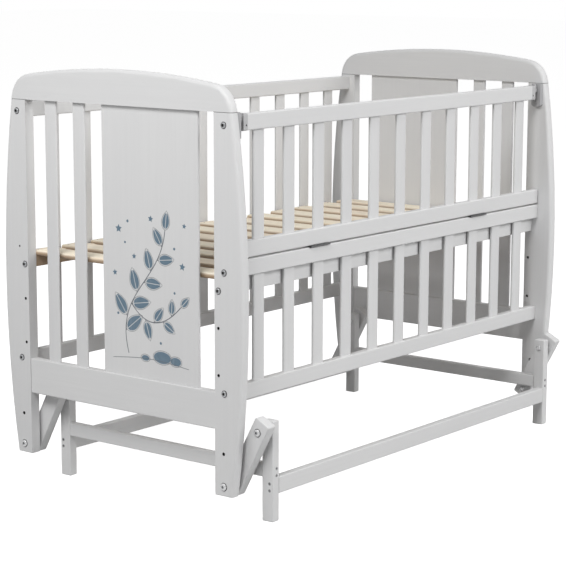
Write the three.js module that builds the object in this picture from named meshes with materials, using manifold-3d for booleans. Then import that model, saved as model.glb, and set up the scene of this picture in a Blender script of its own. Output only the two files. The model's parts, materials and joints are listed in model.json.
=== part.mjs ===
// A child's cot with a fold-down front gate. The cot hangs in a low stand on four swinging links,
// so it rocks from front to back and its floor stays level. Lengths are in millimetres.
// X runs along the cot, Y from its front to its back, and Z upwards from the floor.

import * as THREE from 'three';
import { mergeVertices } from 'three/addons/utils/BufferGeometryUtils.js';
import Module from 'manifold-3d';

const wasm = await Module();
wasm.setup();

// Fits
const fit_gap = 0.3; // between pieces that are seated in or on each other
const turn_gap = 0.5; // around a pin in a bore that turns on it
const overrun = 5; // how far a cutter reaches past what it cuts
const small_round_steps = 2; // facets of a small rounded edge
const slat_round_steps = 1;

// Ends of the cot: two bowed legs under an arched rail
const clear_length = 1200; // between the two ends, for a standard mattress
const end_thickness = 25;
const end_opening = 543; // between the straight inner edges of the two legs
const leg_width = 46; // at the foot and at the top
const leg_bow = 29.5; // how far the outer edge swells at mid height
const leg_length = 800;
const arch_rise = 75.5;
const crown_radius = 1900;
const corner_radius = 60;
const edge_round = 7;
const foot_round = 3;
const bow_steps = 12;
const corner_steps = 6;
const crown_steps = 6;
const edge_steps = 3;

// Filling of the ends
const end_rail_bottom = 140;
const end_rail_height = 80;
const end_rail_thickness = 20;
const end_rail_round = 3;
const panel_width = 273;
const panel_thickness = 8;
const end_slat_width = 35;
const end_slat_count = 2;
const end_seat_depth = 8;
const tenon_length = 15;
const tenon_thickness = 9;
const end_rail_tenon_height = 56;
const leg_tenon_width = 26;

// Rails and slats of the long sides
const side_inset = 26; // from the legs' inner edges out to the middle of each side rail
const rail_height = 35;
const rail_thickness = 20;
const rail_round = 3;
const top_rail_drop = 5; // top rails lie this far below the tops of the legs
const low_rail_bottom = 198;
const slat_count = 11;
const slat_width = 36;
const slat_thickness = 8;
const slat_round = 2.5;
const slat_seat_depth = 8;

// Gate and its hinges
const fold_height = 496; // hinge axis above the feet of the cot
const fold_gap = 3; // between the gate and the middle rail
const fold_reach = 2.5; // hinge axis in front of the rails
const gate_end_gap = 3; // between the gate's bottom rail and each leg
const hinge_spacing = 632;
const hinge_width = 68;
const hinge_leaf_depth = 18;
const hinge_leaf_thickness = 1.1;
const knuckle_radius = 2.3;
const hinge_pin_radius = 1.2;
const knuckle_gap = 0.4;
const knuckle_sides = 12;
const knuckle_count = 3; // two on the fixed leaf, one on the gate's

// Latches of the gate
const housing_length = 25;
const housing_proud = 0.6;
const housing_round = 4;
const keeper_gap = 3; // between a housing and its keeper
const keeper_thickness = 12;
const keeper_width = 26;
const keeper_height = 57;
const keeper_above_rail = 4;
const keeper_point = 12;
const keeper_outer_offset = 3.5; // keeper's middle lies this far in front of the rail's
const tongue_width = 8;
const tongue_height = 8;
const tongue_length = 25;
const tongue_engagement = 6;
const tongue_nose = 4.5;
const tongue_offset = 2.5; // tongue's middle lies this far in front of the rail's
const tongue_below_top = 11.5; // tongue's middle below the rail's top
const tongue_travel = 8;
const tongue_fit = 0.5;
const knob_length = 8;
const knob_width = 6;
const knob_proud = 3;
const knob_round = 1.5;
const knob_setback = 12; // knob's middle behind the tongue's tip
const plug_length = 12;
const plug_height = 16;
const plug_width = 10;
const plug_below_centre = 5;
const housing_screw_radius = 2.2;
const housing_screw_depth = 3;
const housing_screw_below_top = 24;
const housing_screw_from_end = 4.5;

// Base
const base_rail_height = 25;
const base_rail_thickness = 20;
const base_rail_round = 2;
const base_inset = 10.5; // from the legs' inner edges out to the middle of each base rail
const base_slat_count = 13;
const base_slat_width = 57;
const base_slat_thickness = 12;
const base_slat_round = 4.5;
const base_slat_gap = 1; // between the ends of the slats and the side rails
const base_lift = 3.5; // tops of the slats above the underside of the middle rail

// Bolt holes in the legs
const bolt_hole_radius = 3.6;
const pilot_hole_radius = 2.4;
const lock_hole_radius = 4;
const hole_sides = 10;
const top_bolt_drop = 3; // below the middle of the rail it holds
const middle_bolt_drop = 4;
const low_bolt_lift = 4;
const base_bolt_drop = 4.5;
const base_level_step = 78; // from the top base level to the middle one
const base_bottom_step = 99.5; // from the middle base level to the low one
const lock_hole_height = 91;
const leg_pivot_height = 20.6;

// Stand
const pivot_inset = 23.5; // from the legs' inner edges out to the pivots
const post_height = 218;
const post_width = 29;
const post_thickness = 22;
const post_round = 2.5;
const post_pivot_drop = 20; // upper pivots below the tops of the posts
const side_stretcher_bottom = 58.5;
const side_stretcher_height = 37;
const end_stretcher_bottom = 94.5;
const end_stretcher_height = 30;
const stretcher_thickness = 20;
const stretcher_round = 3;
const stretcher_setback = 0.5; // side stretchers lie this far behind the posts' outer faces

// Swing links and their bolts
const link_pivot_distance = 135;
const link_width = 40;
const link_thickness = 25;
const link_above_pivot = 27;
const link_below_pivot = 20;
const link_corner_radius = 5;
const link_corner_steps = 3;
const link_edge_round = 2;
const swing_space = 8; // between leg and link, and between link and post
const swing_lean_share = 28 / 180; // the cot is swung back this share of half a turn
const bolt_radius = 4;
const bolt_head_radius = 9;
const bolt_head_height = 3.6;
const bolt_head_chamfer = 1.8;
const bolt_nut_radius = 7;
const bolt_nut_height = 5.5;
const bolt_spacer_radius = 10;
const bolt_sides = 12;

// Places worked out from the sizes
const end_inner_x = clear_length / 2;
const leg_inner_y = end_opening / 2;
const leg_end_y = leg_inner_y + leg_width;
const leg_bulge_y = leg_end_y + leg_bow;
const side_plane = leg_inner_y + side_inset;
const pivot_plane = leg_inner_y + pivot_inset;
const arch_top = leg_length + arch_rise;
const end_middle_x = end_inner_x + end_thickness / 2;
const end_rail_top = end_rail_bottom + end_rail_height;
const fold_out = side_plane + rail_thickness / 2 + fold_reach;
const middle_rail_top = fold_height - fold_gap / 2;
const middle_rail_bottom = middle_rail_top - rail_height;
const top_rail_top = leg_length - top_rail_drop;
const top_rail_bottom = top_rail_top - rail_height;
const low_rail_top = low_rail_bottom + rail_height;
const slat_pitch = (clear_length + slat_width) / (slat_count + 1);
const keeper_face_x = end_inner_x - keeper_thickness;
const housing_outer_x = keeper_face_x - keeper_gap;
const housing_inner_x = housing_outer_x - housing_length;
const base_top = middle_rail_bottom + base_lift;
const base_rail_top = base_top - base_slat_thickness - fit_gap;
const base_rail_bottom = base_rail_top - base_rail_height;
const base_rail_y = leg_inner_y + base_inset;
const base_half_length = end_inner_x - fit_gap;
const link_outer_x = end_inner_x - swing_space;
const link_inner_x = link_outer_x - link_thickness;
const post_outer_x = link_inner_x - swing_space;
const post_inner_x = post_outer_x - post_thickness;
const post_pivot_height = post_height - post_pivot_drop;
const swing_lean = Math.PI * swing_lean_share;
const swing_shift = link_pivot_distance * Math.sin(swing_lean);
const cot_lift = post_pivot_height - link_pivot_distance * Math.cos(swing_lean) - leg_pivot_height;

// Finishes
function finish(color, roughness, metalness) {
  return new THREE.MeshStandardMaterial({ color, roughness, metalness });
}
const grey_paint = finish('#d3d4d5', 0.5, 0);
const bare_pine = finish('#e6cfa3', 0.65, 0);
const steel = finish('#a9abad', 0.35, 0.9);
const grey_plastic = finish('#c9cacb', 0.4, 0);

// Local x, y and z of a flat outline laid across the cot: they become Y, Z and X
const across_cot = new THREE.Matrix4().makeBasis(
  new THREE.Vector3(0, 1, 0), new THREE.Vector3(0, 0, 1), new THREE.Vector3(1, 0, 0));

// Local x, y and z of an outline laid along the cot's side: they become X, Z and -Y
const along_cot = new THREE.Matrix4().makeBasis(
  new THREE.Vector3(1, 0, 0), new THREE.Vector3(0, 0, 1), new THREE.Vector3(0, -1, 0));

// Turns a closed geometry into a solid that can be cut and joined
function solid(geometry) {
  const bare = geometry.clone();
  bare.deleteAttribute('normal');
  bare.deleteAttribute('uv');
  const merged = mergeVertices(bare);
  return new wasm.Manifold(new wasm.Mesh({
    numProp: 3,
    vertProperties: new Float32Array(merged.attributes.position.array),
    triVerts: new Uint32Array(merged.index.array),
  }));
}

// Adds a solid to a group as a named piece
function place(group, name, piece, material) {
  const cut = piece.getMesh();
  const geometry = new THREE.BufferGeometry();
  geometry.setAttribute('position', new THREE.BufferAttribute(new Float32Array(cut.vertProperties), 3));
  geometry.setIndex(new THREE.BufferAttribute(new Uint32Array(cut.triVerts), 1));
  geometry.computeVertexNormals();
  const mesh = new THREE.Mesh(geometry, material);
  mesh.name = name;
  group.add(mesh);
  return mesh;
}

// A block between two opposite corners, given in any order
function block(x0, x1, y0, y1, z0, z1) {
  const geometry = new THREE.BoxGeometry(Math.abs(x1 - x0), Math.abs(y1 - y0), Math.abs(z1 - z0));
  geometry.translate((x0 + x1) / 2, (y0 + y1) / 2, (z0 + z1) / 2);
  return solid(geometry);
}

// A round rod along X
function rod_x(radius, x0, x1, y, z, sides) {
  const geometry = new THREE.CylinderGeometry(radius, radius, Math.abs(x1 - x0), sides);
  geometry.rotateZ(Math.PI / 2);
  geometry.translate((x0 + x1) / 2, y, z);
  return solid(geometry);
}

// A round rod along Y
function rod_y(radius, x, y0, y1, z, sides) {
  const geometry = new THREE.CylinderGeometry(radius, radius, Math.abs(y1 - y0), sides);
  geometry.translate(x, (y0 + y1) / 2, z);
  return solid(geometry);
}

// Points along an arc from one angle to another
function arc(centre_x, centre_y, radius, from, to, steps) {
  const points = [];
  for (let i = 0; i <= steps; i++) {
    const angle = from + (to - from) * i / steps;
    points.push(new THREE.Vector2(centre_x + radius * Math.cos(angle), centre_y + radius * Math.sin(angle)));
  }
  return points;
}

// A rectangle with rounded corners about the origin
function rounded_rectangle(width, height, radius, steps) {
  const points = [];
  for (let corner = 0; corner < 4; corner++) {
    const x = (corner === 0 || corner === 3 ? 1 : -1) * (width / 2 - radius);
    const y = (corner < 2 ? 1 : -1) * (height / 2 - radius);
    const from = corner * Math.PI / 2;
    points.push(...arc(x, y, radius, from, from + Math.PI / 2, steps));
  }
  return new THREE.Shape(points);
}

// Extrudes a shape by a thickness in all, with its rims rounded by round
function slab(shape, thickness, round, steps) {
  const geometry = new THREE.ExtrudeGeometry(shape, {
    depth: thickness - 2 * round,
    bevelEnabled: round > 0,
    bevelThickness: round,
    bevelSize: round,
    bevelOffset: -round,
    bevelSegments: steps,
  });
  geometry.translate(0, 0, round);
  return geometry;
}

// A rail along X with rounded edges, between two ends
function rail_x(x0, x1, y, bottom, thickness, height, round) {
  const geometry = slab(rounded_rectangle(thickness, height, round, small_round_steps), x1 - x0, 0, 1);
  geometry.applyMatrix4(across_cot);
  geometry.translate(x0, y, bottom + height / 2);
  return solid(geometry);
}

// A rail along Y with rounded edges, between two ends
function rail_y(x, y0, y1, bottom, thickness, height, round) {
  const geometry = slab(rounded_rectangle(thickness, height, round, small_round_steps), y1 - y0, 0, 1);
  geometry.applyMatrix4(along_cot);
  geometry.translate(x, y1, bottom + height / 2);
  return solid(geometry);
}

// An upright slat, grown on every side where it serves as the cutter of its own seat
function upright(x, y, size_x, size_y, bottom, top, growth) {
  const shape = rounded_rectangle(
    size_x + 2 * growth, size_y + 2 * growth, slat_round + growth, slat_round_steps);
  const geometry = slab(shape, top - bottom + 2 * growth, 0, 1);
  geometry.translate(x, y, bottom - growth);
  return solid(geometry);
}

// X of each slat of the long sides
function slat_places() {
  const places = [];
  for (let i = 0; i < slat_count; i++) {
    places.push((i - (slat_count - 1) / 2) * slat_pitch);
  }
  return places;
}

// Joins all the solids of a list
function joined(pieces) {
  return pieces.reduce((whole, piece) => whole.add(piece));
}

// The slats of one section as one solid, also used as the cutter of their seats
function slat_row(y, bottom, top, growth) {
  return joined(slat_places().map(
    x => upright(x, y, slat_width, slat_thickness, bottom, top, growth)));
}

// Ends

// Point where two circles meet, on the right of the line from the first centre to the second
function circles_meet(ax, ay, ar, bx, by, br) {
  const dx = bx - ax;
  const dy = by - ay;
  const d = Math.hypot(dx, dy);
  const along = (ar * ar - br * br + d * d) / (2 * d);
  const off = Math.sqrt(ar * ar - along * along);
  return [ax + (along * dx + off * dy) / d, ay + (along * dy - off * dx) / d];
}

// Outline of a whole end: bowed sides that run through round corners into a shallow crown
function end_outline() {
  const half_length = leg_length / 2;
  const bow_radius = (half_length ** 2 + leg_bow ** 2) / (2 * leg_bow);
  const bow_y = leg_bulge_y - bow_radius;
  const crown_z = arch_top - crown_radius;
  const [corner_y, corner_z] = circles_meet(
    0, crown_z, crown_radius - corner_radius, bow_y, half_length, bow_radius - corner_radius);
  const foot_angle = Math.asin((-foot_cut - half_length) / bow_radius);
  const side_angle = Math.atan2(corner_z - half_length, corner_y - bow_y);
  const crown_angle = Math.atan2(corner_z - crown_z, corner_y);
  const half = [
    ...arc(bow_y, half_length, bow_radius, foot_angle, side_angle, bow_steps),
    ...arc(corner_y, corner_z, corner_radius, side_angle, crown_angle, corner_steps).slice(1),
    ...arc(0, crown_z, crown_radius, crown_angle, Math.PI / 2, crown_steps).slice(1),
  ];
  const mirrored = half.slice(0, -1).reverse().map(point => new THREE.Vector2(-point.x, point.y));
  return new THREE.Shape([...half, ...mirrored]);
}

// The blank is cut off this far below the feet, so that only the last of its rounding is left
const foot_cut = edge_round - foot_round;

// A whole end, from its outer face to its inner one, before it is cut into legs and arch
function end_blank() {
  const geometry = slab(end_outline(), end_thickness, edge_round, edge_steps);
  geometry.applyMatrix4(across_cot);
  geometry.translate(-end_inner_x - end_thickness, 0, 0);
  return solid(geometry);
}

// Tenon of the arch that stands in the top of a leg
function leg_tenon(side, growth) {
  const middle = side * (leg_inner_y + leg_end_y) / 2;
  const half_x = tenon_thickness / 2 + growth;
  const half_y = leg_tenon_width / 2 + growth;
  return block(-end_middle_x - half_x, -end_middle_x + half_x, middle - half_y, middle + half_y,
    leg_length - tenon_length - growth, leg_length + overrun);
}

// Tenon of the bottom rail that stands in the inner edge of a leg
function end_rail_tenon(side, growth) {
  const middle = (end_rail_bottom + end_rail_top) / 2;
  const half_x = tenon_thickness / 2 + growth;
  const half_z = end_rail_tenon_height / 2 + growth;
  return block(-end_middle_x - half_x, -end_middle_x + half_x,
    side * (leg_inner_y - overrun), side * (leg_inner_y + tenon_length + growth),
    middle - half_z, middle + half_z);
}

// Holes through a leg: distance from the middle of the cot, height and radius
function leg_holes() {
  const base_bolt = (base_rail_bottom + base_rail_top) / 2 - base_bolt_drop;
  return [
    [side_plane, (top_rail_bottom + top_rail_top) / 2 - top_bolt_drop, bolt_hole_radius],
    [side_plane, (middle_rail_bottom + middle_rail_top) / 2 - middle_bolt_drop, pilot_hole_radius],
    [base_rail_y, base_bolt, bolt_hole_radius],
    [base_rail_y, base_bolt - base_level_step, bolt_hole_radius],
    [base_rail_y, base_bolt - base_level_step - base_bottom_step, bolt_hole_radius],
    [side_plane, (low_rail_bottom + low_rail_top) / 2 + low_bolt_lift, bolt_hole_radius],
    [pivot_plane, lock_hole_height, lock_hole_radius],
    [pivot_plane, leg_pivot_height, bolt_radius + fit_gap],
  ];
}

// A leg: the part of the blank outside the end's opening, with its mortises and bolt holes
function leg(blank, side) {
  const reach = overrun + leg_bulge_y;
  const outer_x = -end_inner_x - end_thickness - overrun;
  const inner_x = -end_inner_x + overrun;
  let piece = blank.intersect(block(outer_x, inner_x, side * leg_inner_y, side * reach, 0, leg_length));
  piece = piece.subtract(leg_tenon(side, fit_gap)).subtract(end_rail_tenon(side, fit_gap));
  for (const [y, z, radius] of leg_holes()) {
    piece = piece.subtract(rod_x(radius, outer_x, inner_x, side * y, z, hole_sides));
  }
  return piece;
}

// Middle of each end slat and of the wide panel beside them
function end_filling_places() {
  const gap = (end_opening - panel_width - end_slat_count * end_slat_width) / (end_slat_count + 2);
  const slats = [];
  for (let i = 0; i < end_slat_count; i++) {
    slats.push(leg_inner_y - (i + 1) * gap - (i + 1 / 2) * end_slat_width);
  }
  return { slats, panel: -leg_inner_y + gap + panel_width / 2 };
}

// End slats that stand on the bottom rail and reach up into the arch
function end_slats(growth) {
  return joined(end_filling_places().slats.map(y => upright(-end_middle_x, y,
    slat_thickness, end_slat_width, end_rail_top - end_seat_depth, leg_length + end_seat_depth, growth)));
}

// The wide panel, held in grooves of the bottom rail and the arch
function wide_panel(growth) {
  return upright(-end_middle_x, end_filling_places().panel, panel_thickness, panel_width,
    end_rail_top - end_seat_depth, leg_length + end_seat_depth, growth);
}

// The arch: the part of the blank above the legs, with the seats of slats and panel
function arch(blank) {
  const reach = overrun + leg_end_y;
  const above = block(-end_inner_x - end_thickness - overrun, -end_inner_x + overrun, -reach, reach,
    leg_length + fit_gap, arch_top + overrun);
  return blank.intersect(above)
    .subtract(end_slats(fit_gap)).subtract(wide_panel(fit_gap))
    .add(leg_tenon(-1, 0)).add(leg_tenon(1, 0));
}

// The bottom rail of an end with its two slats
function end_bottom_rail() {
  const half_length = leg_inner_y - fit_gap;
  return rail_y(-end_middle_x, -half_length, half_length, end_rail_bottom,
    end_rail_thickness, end_rail_height, end_rail_round)
    .subtract(wide_panel(fit_gap)).add(end_slats(0))
    .add(end_rail_tenon(-1, 0)).add(end_rail_tenon(1, 0));
}

// One end of the cot. Both ends are alike, and the second is turned half round,
// so the leg that is in front on one of them is at the back on the other.
function end_frame(name, leg_names, turn) {
  const group = new THREE.Group();
  const blank = end_blank();
  place(group, leg_names[0], leg(blank, -1), grey_paint);
  place(group, leg_names[1], leg(blank, 1), grey_paint);
  place(group, `${name}_arched_rail`, arch(blank), grey_paint);
  place(group, `${name}_bottom_rail`, end_bottom_rail(), grey_paint);
  place(group, `${name}_wide_panel`, wide_panel(0), grey_paint);
  group.rotation.z = turn;
  return group;
}

// Long sides

// A side rail that butts against the legs
function side_rail(y, bottom) {
  const half_length = end_inner_x - fit_gap;
  return rail_x(-half_length, half_length, y, bottom, rail_thickness, rail_height, rail_round);
}

// A rail with slats standing in it, and the seated rail above them
function slatted_section(group, y, rail_name, rail_bottom, top_name, top_bottom) {
  const foot = rail_bottom + rail_height - slat_seat_depth;
  const head = top_bottom + slat_seat_depth;
  const slats = slat_row(y, foot, head, 0);
  const seats = slat_row(y, foot, head, fit_gap);
  place(group, rail_name, side_rail(y, rail_bottom).add(slats), grey_paint);
  place(group, top_name, side_rail(y, top_bottom).subtract(seats), grey_paint);
}

// Base: a grey front rail, and a bare pine back rail with the slats nailed on it
function base(group) {
  place(group, 'base_front_rail', rail_x(-base_half_length, base_half_length, -base_rail_y,
    base_rail_bottom, base_rail_thickness, base_rail_height, base_rail_round), grey_paint);
  const half_slat = side_plane - rail_thickness / 2 - base_slat_gap;
  const pitch = (2 * base_half_length - base_slat_width) / (base_slat_count - 1);
  const slat_bottom = base_rail_top + fit_gap;
  let frame = rail_x(-base_half_length, base_half_length, base_rail_y,
    base_rail_bottom, base_rail_thickness, base_rail_height + fit_gap + base_slat_round, base_rail_round);
  for (let i = 0; i < base_slat_count; i++) {
    const x = -base_half_length + base_slat_width / 2 + i * pitch;
    frame = frame.add(rail_y(x, -half_slat, half_slat, slat_bottom,
      base_slat_width, base_slat_thickness, base_slat_round));
  }
  place(group, 'base_back_rail_with_slats', frame, bare_pine);
}

// Hinges. Leaves are modelled about the hinge axis: fixed leaf below it, gate leaf above it.

// Plate of a leaf, on the side of the axis that sign says
function leaf_plate(sign) {
  const near = hinge_leaf_clearance_y();
  const inner = sign * leaf_inner_z;
  const outer = sign * (leaf_inner_z + hinge_leaf_thickness);
  return block(-hinge_width / 2, hinge_width / 2, near, near + hinge_leaf_depth, inner, outer);
}

// Leaves stay this far above and below the axis, so that they clear each other
const leaf_inner_z = knuckle_gap / 2;

// Plates start behind the knuckles of the other leaf
function hinge_leaf_clearance_y() {
  return knuckle_radius + knuckle_gap;
}

// A knuckle with the neck that ties it to its plate
function knuckle(sign, x0, x1) {
  const neck = block(x0, x1, 0, hinge_leaf_clearance_y() + hinge_leaf_thickness,
    sign * leaf_inner_z, sign * (leaf_inner_z + hinge_leaf_thickness));
  return rod_x(knuckle_radius, x0, x1, 0, 0, knuckle_sides).add(neck);
}

// Fixed leaf with its two outer knuckles and the pin that joins them
function fixed_leaf() {
  const half = hinge_width / knuckle_count / 2;
  return leaf_plate(-1)
    .add(knuckle(-1, -hinge_width / 2, -half))
    .add(knuckle(-1, half, hinge_width / 2))
    .add(rod_x(hinge_pin_radius, -half - knuckle_gap, half + knuckle_gap, 0, 0, knuckle_sides));
}

// Gate leaf with the middle knuckle that turns on the pin
function gate_leaf() {
  const half = hinge_width / knuckle_count / 2 - knuckle_gap;
  const bore = rod_x(hinge_pin_radius + knuckle_gap, -half - overrun, half + overrun, 0, 0, knuckle_sides);
  return leaf_plate(1).add(knuckle(1, -half, half)).subtract(bore);
}

// Latches. Side is -1 at the left end of the gate and 1 at the right end.
// They are modelled in the gate's own frame, with its hinge axis as the origin.

const gate_plane = fold_reach + rail_thickness / 2; // the rails' middle, behind the axis
const gate_rail_bottom = fold_gap / 2;
const gate_top = top_rail_top - fold_height;
const gate_top_rail_bottom = gate_top - rail_height;
const tongue_z = gate_top - tongue_below_top;
const tongue_y = gate_plane - tongue_offset;
const tongue_tip_x = keeper_face_x + tongue_engagement;
const tongue_tail_x = tongue_tip_x - tongue_length;

// Plug of a housing that sits in the end of the gate's top rail
function housing_plug(side, growth) {
  const middle = gate_top - rail_height / 2 - plug_below_centre;
  const half_y = plug_width / 2 + growth;
  const half_z = plug_height / 2 + growth;
  return block(side * (housing_inner_x - plug_length - growth), side * (housing_inner_x + overrun),
    gate_plane - half_y, gate_plane + half_y, middle - half_z, middle + half_z);
}

// Room for the tongue and its knob, from rest to fully drawn back
function tongue_room(side) {
  const tail = tongue_tail_x - tongue_travel - tongue_fit;
  const half_y = tongue_width / 2 + tongue_fit;
  const half_z = tongue_height / 2 + tongue_fit;
  const knob_outer = tongue_tip_x - knob_setback + knob_length / 2 + tongue_fit;
  const knob_inner = tongue_tip_x - knob_setback - knob_length / 2 - tongue_travel - tongue_fit;
  const half_knob = knob_width / 2 + tongue_fit;
  const channel = block(side * tail, side * (housing_outer_x + overrun),
    tongue_y - half_y, tongue_y + half_y, tongue_z - half_z, tongue_z + half_z);
  const slot = block(side * knob_inner, side * knob_outer, tongue_y - half_knob, tongue_y + half_knob,
    tongue_z, gate_top + overrun);
  return channel.add(slot);
}

// Plastic housing that caps an end of the gate's top rail
function latch_housing(side) {
  const x = [side * (housing_inner_x + fit_gap), side * housing_outer_x].sort((a, b) => a - b);
  const screw_x = side * (housing_inner_x + housing_screw_from_end);
  const front = gate_plane - rail_thickness / 2 - housing_proud;
  const screw = rod_y(housing_screw_radius, screw_x, front - overrun, front + housing_screw_depth,
    gate_top - housing_screw_below_top, hole_sides);
  return rail_x(x[0], x[1], gate_plane, gate_top_rail_bottom - housing_proud,
    rail_thickness + 2 * housing_proud, rail_height + 2 * housing_proud, housing_round)
    .add(housing_plug(side, 0)).subtract(tongue_room(side)).subtract(screw);
}

// Spring tongue with a slanted nose, which the keeper pushes back as the gate is closed
function latch_tongue(side) {
  const half = tongue_width / 2;
  const outline = [
    [tongue_tail_x, -half], [tongue_tip_x, -half], [tongue_tip_x, half - tongue_nose],
    [tongue_tip_x - tongue_nose, half], [tongue_tail_x, half],
  ].map(([x, y]) => new THREE.Vector2(side * x, y));
  const bar = slab(new THREE.Shape(outline), tongue_height, 0, 1);
  bar.translate(0, tongue_y, tongue_z - tongue_height / 2);
  const knob_x = side * (tongue_tip_x - knob_setback);
  const knob_top = gate_top + housing_proud + knob_proud;
  const knob = slab(rounded_rectangle(knob_length, knob_width, knob_round, small_round_steps),
    knob_top - tongue_z, 0, 1);
  knob.translate(knob_x, tongue_y, tongue_z);
  return solid(bar).add(solid(knob));
}

// Keeper on the inner face of a front leg, with the pocket that takes the tongue, in the cot's frame
function keeper(side) {
  const middle = -side_plane - keeper_outer_offset;
  const half = keeper_width / 2;
  const top = top_rail_top + keeper_above_rail;
  const bottom = top - keeper_height;
  const outline = [
    [middle - half, top], [middle - half, bottom + keeper_point], [middle, bottom],
    [middle + half, bottom + keeper_point], [middle + half, top],
  ].map(([y, z]) => new THREE.Vector2(y, z));
  const geometry = slab(new THREE.Shape(outline), keeper_thickness - fit_gap, 0, 1);
  geometry.applyMatrix4(across_cot);
  geometry.translate(side < 0 ? -end_inner_x + fit_gap : keeper_face_x, 0, 0);
  const pocket_y = -fold_out + tongue_y;
  const pocket_z = fold_height + tongue_z;
  const half_y = tongue_width / 2 + tongue_fit;
  const half_z = tongue_height / 2 + tongue_fit;
  const pocket = block(side * (keeper_face_x - overrun), side * (tongue_tip_x + tongue_fit),
    pocket_y - half_y, pocket_y + half_y, pocket_z - half_z, pocket_z + half_z);
  return solid(geometry).subtract(pocket);
}

// The gate, modelled about its hinge axis
function gate() {
  const group = new THREE.Group();
  const bottom_half = end_inner_x - gate_end_gap;
  const seat_bottom = gate_rail_bottom + rail_height - slat_seat_depth;
  const seat_top = gate_top_rail_bottom + slat_seat_depth;
  const seats = slat_row(gate_plane, seat_bottom, seat_top, fit_gap);
  const bottom_rail = rail_x(-bottom_half, bottom_half, gate_plane, gate_rail_bottom,
    rail_thickness, rail_height, rail_round).subtract(seats);
  const top_rail = rail_x(-housing_inner_x, housing_inner_x, gate_plane, gate_top_rail_bottom,
    rail_thickness, rail_height, rail_round).subtract(seats)
    .subtract(housing_plug(-1, fit_gap)).subtract(housing_plug(1, fit_gap))
    .subtract(tongue_room(-1)).subtract(tongue_room(1));
  place(group, 'gate_bottom_rail', bottom_rail, grey_paint);
  place(group, 'gate_top_rail', top_rail, grey_paint);
  slat_places().forEach((x, i) => place(group, `gate_slat_${i + 1}`,
    upright(x, gate_plane, slat_width, slat_thickness, seat_bottom, seat_top, 0), grey_paint));
  for (const [side, hand] of [[-1, 'left'], [1, 'right']]) {
    place(group, `gate_hinge_leaf_${hand}`, gate_leaf(), steel).position.x = side * hinge_spacing / 2;
    place(group, `latch_housing_${hand}`, latch_housing(side), grey_plastic);
    place(group, `latch_tongue_${hand}`, latch_tongue(side), grey_plastic);
  }
  group.position.set(0, -fold_out, fold_height);
  return group;
}

// Swing links, their bolts and the stand

// A bolt along X from its head to its nut, with the spacer that keeps its two timbers apart.
// The timbers are head_timber thick under the head and nut_timber thick before the nut.
function pivot_bolt(head_timber, nut_timber) {
  const spacer_start = head_timber + fit_gap;
  const spacer_end = head_timber + swing_space - fit_gap;
  const nut_start = head_timber + swing_space + nut_timber + fit_gap;
  const profile = [
    [0, -fit_gap - bolt_head_height], [bolt_head_radius - bolt_head_chamfer, -fit_gap - bolt_head_height],
    [bolt_head_radius, -fit_gap - bolt_head_height + bolt_head_chamfer], [bolt_head_radius, -fit_gap],
    [bolt_radius, -fit_gap], [bolt_radius, spacer_start],
    [bolt_spacer_radius, spacer_start], [bolt_spacer_radius, spacer_end],
    [bolt_radius, spacer_end], [bolt_radius, nut_start],
    [bolt_nut_radius, nut_start], [bolt_nut_radius, nut_start + bolt_nut_height],
    [0, nut_start + bolt_nut_height],
  ].map(([radius, length]) => new THREE.Vector2(radius, length));
  const geometry = new THREE.LatheGeometry(profile, bolt_sides);
  geometry.rotateZ(-Math.PI / 2);
  return solid(geometry);
}

// A link about its upper pivot, hanging down along -Z
function link() {
  const height = link_above_pivot + link_pivot_distance + link_below_pivot;
  const shape = rounded_rectangle(link_width, height, link_corner_radius, link_corner_steps);
  const geometry = slab(shape, link_thickness, link_edge_round, small_round_steps);
  geometry.applyMatrix4(across_cot);
  geometry.translate(-link_thickness / 2, 0, link_above_pivot - height / 2);
  const reach = link_thickness / 2 + overrun;
  const bore = z => rod_x(bolt_radius + turn_gap, -reach, reach, 0, z, bolt_sides);
  const lock_z = lock_hole_height - leg_pivot_height - link_pivot_distance;
  return solid(geometry).subtract(bore(0)).subtract(bore(-link_pivot_distance))
    .subtract(rod_x(lock_hole_radius, -reach, reach, 0, lock_z, hole_sides));
}

// A post about its foot, bored for the upper pivot bolt
function post() {
  const shape = rounded_rectangle(post_thickness, post_width, post_round, small_round_steps);
  const radius = bolt_radius + fit_gap;
  const bore = rod_x(radius, -post_thickness, post_thickness, 0, post_pivot_height, bolt_sides);
  return solid(slab(shape, post_height, post_round, small_round_steps)).subtract(bore);
}

// The four posts with their bolts, and the stretchers between them
function stand() {
  const group = new THREE.Group();
  const post_x = (post_outer_x + post_inner_x) / 2;
  for (const [x_side, hand] of [[-1, 'left'], [1, 'right']]) {
    for (const [y_side, depth] of [[-1, 'front'], [1, 'back']]) {
      const y = y_side * pivot_plane;
      place(group, `post_${depth}_${hand}`, post(), grey_paint).position.set(x_side * post_x, y, 0);
      const bolt = place(group, `upper_pivot_bolt_${depth}_${hand}`,
        pivot_bolt(link_thickness, post_thickness), steel);
      bolt.position.set(x_side * link_outer_x, y, post_pivot_height);
      bolt.rotation.y = x_side < 0 ? 0 : Math.PI;
    }
    const half = pivot_plane - post_width / 2 - fit_gap;
    place(group, `end_stretcher_${hand}`, rail_y(x_side * post_x, -half, half, end_stretcher_bottom,
      stretcher_thickness, end_stretcher_height, stretcher_round), grey_paint);
  }
  const half_length = post_inner_x - fit_gap;
  const y = pivot_plane + post_width / 2 - stretcher_setback - stretcher_thickness / 2;
  for (const [y_side, depth] of [[-1, 'front'], [1, 'back']]) {
    place(group, `side_stretcher_${depth}`, rail_x(-half_length, half_length, y_side * y,
      side_stretcher_bottom, stretcher_thickness, side_stretcher_height, stretcher_round), grey_paint);
  }
  return group;
}

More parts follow.
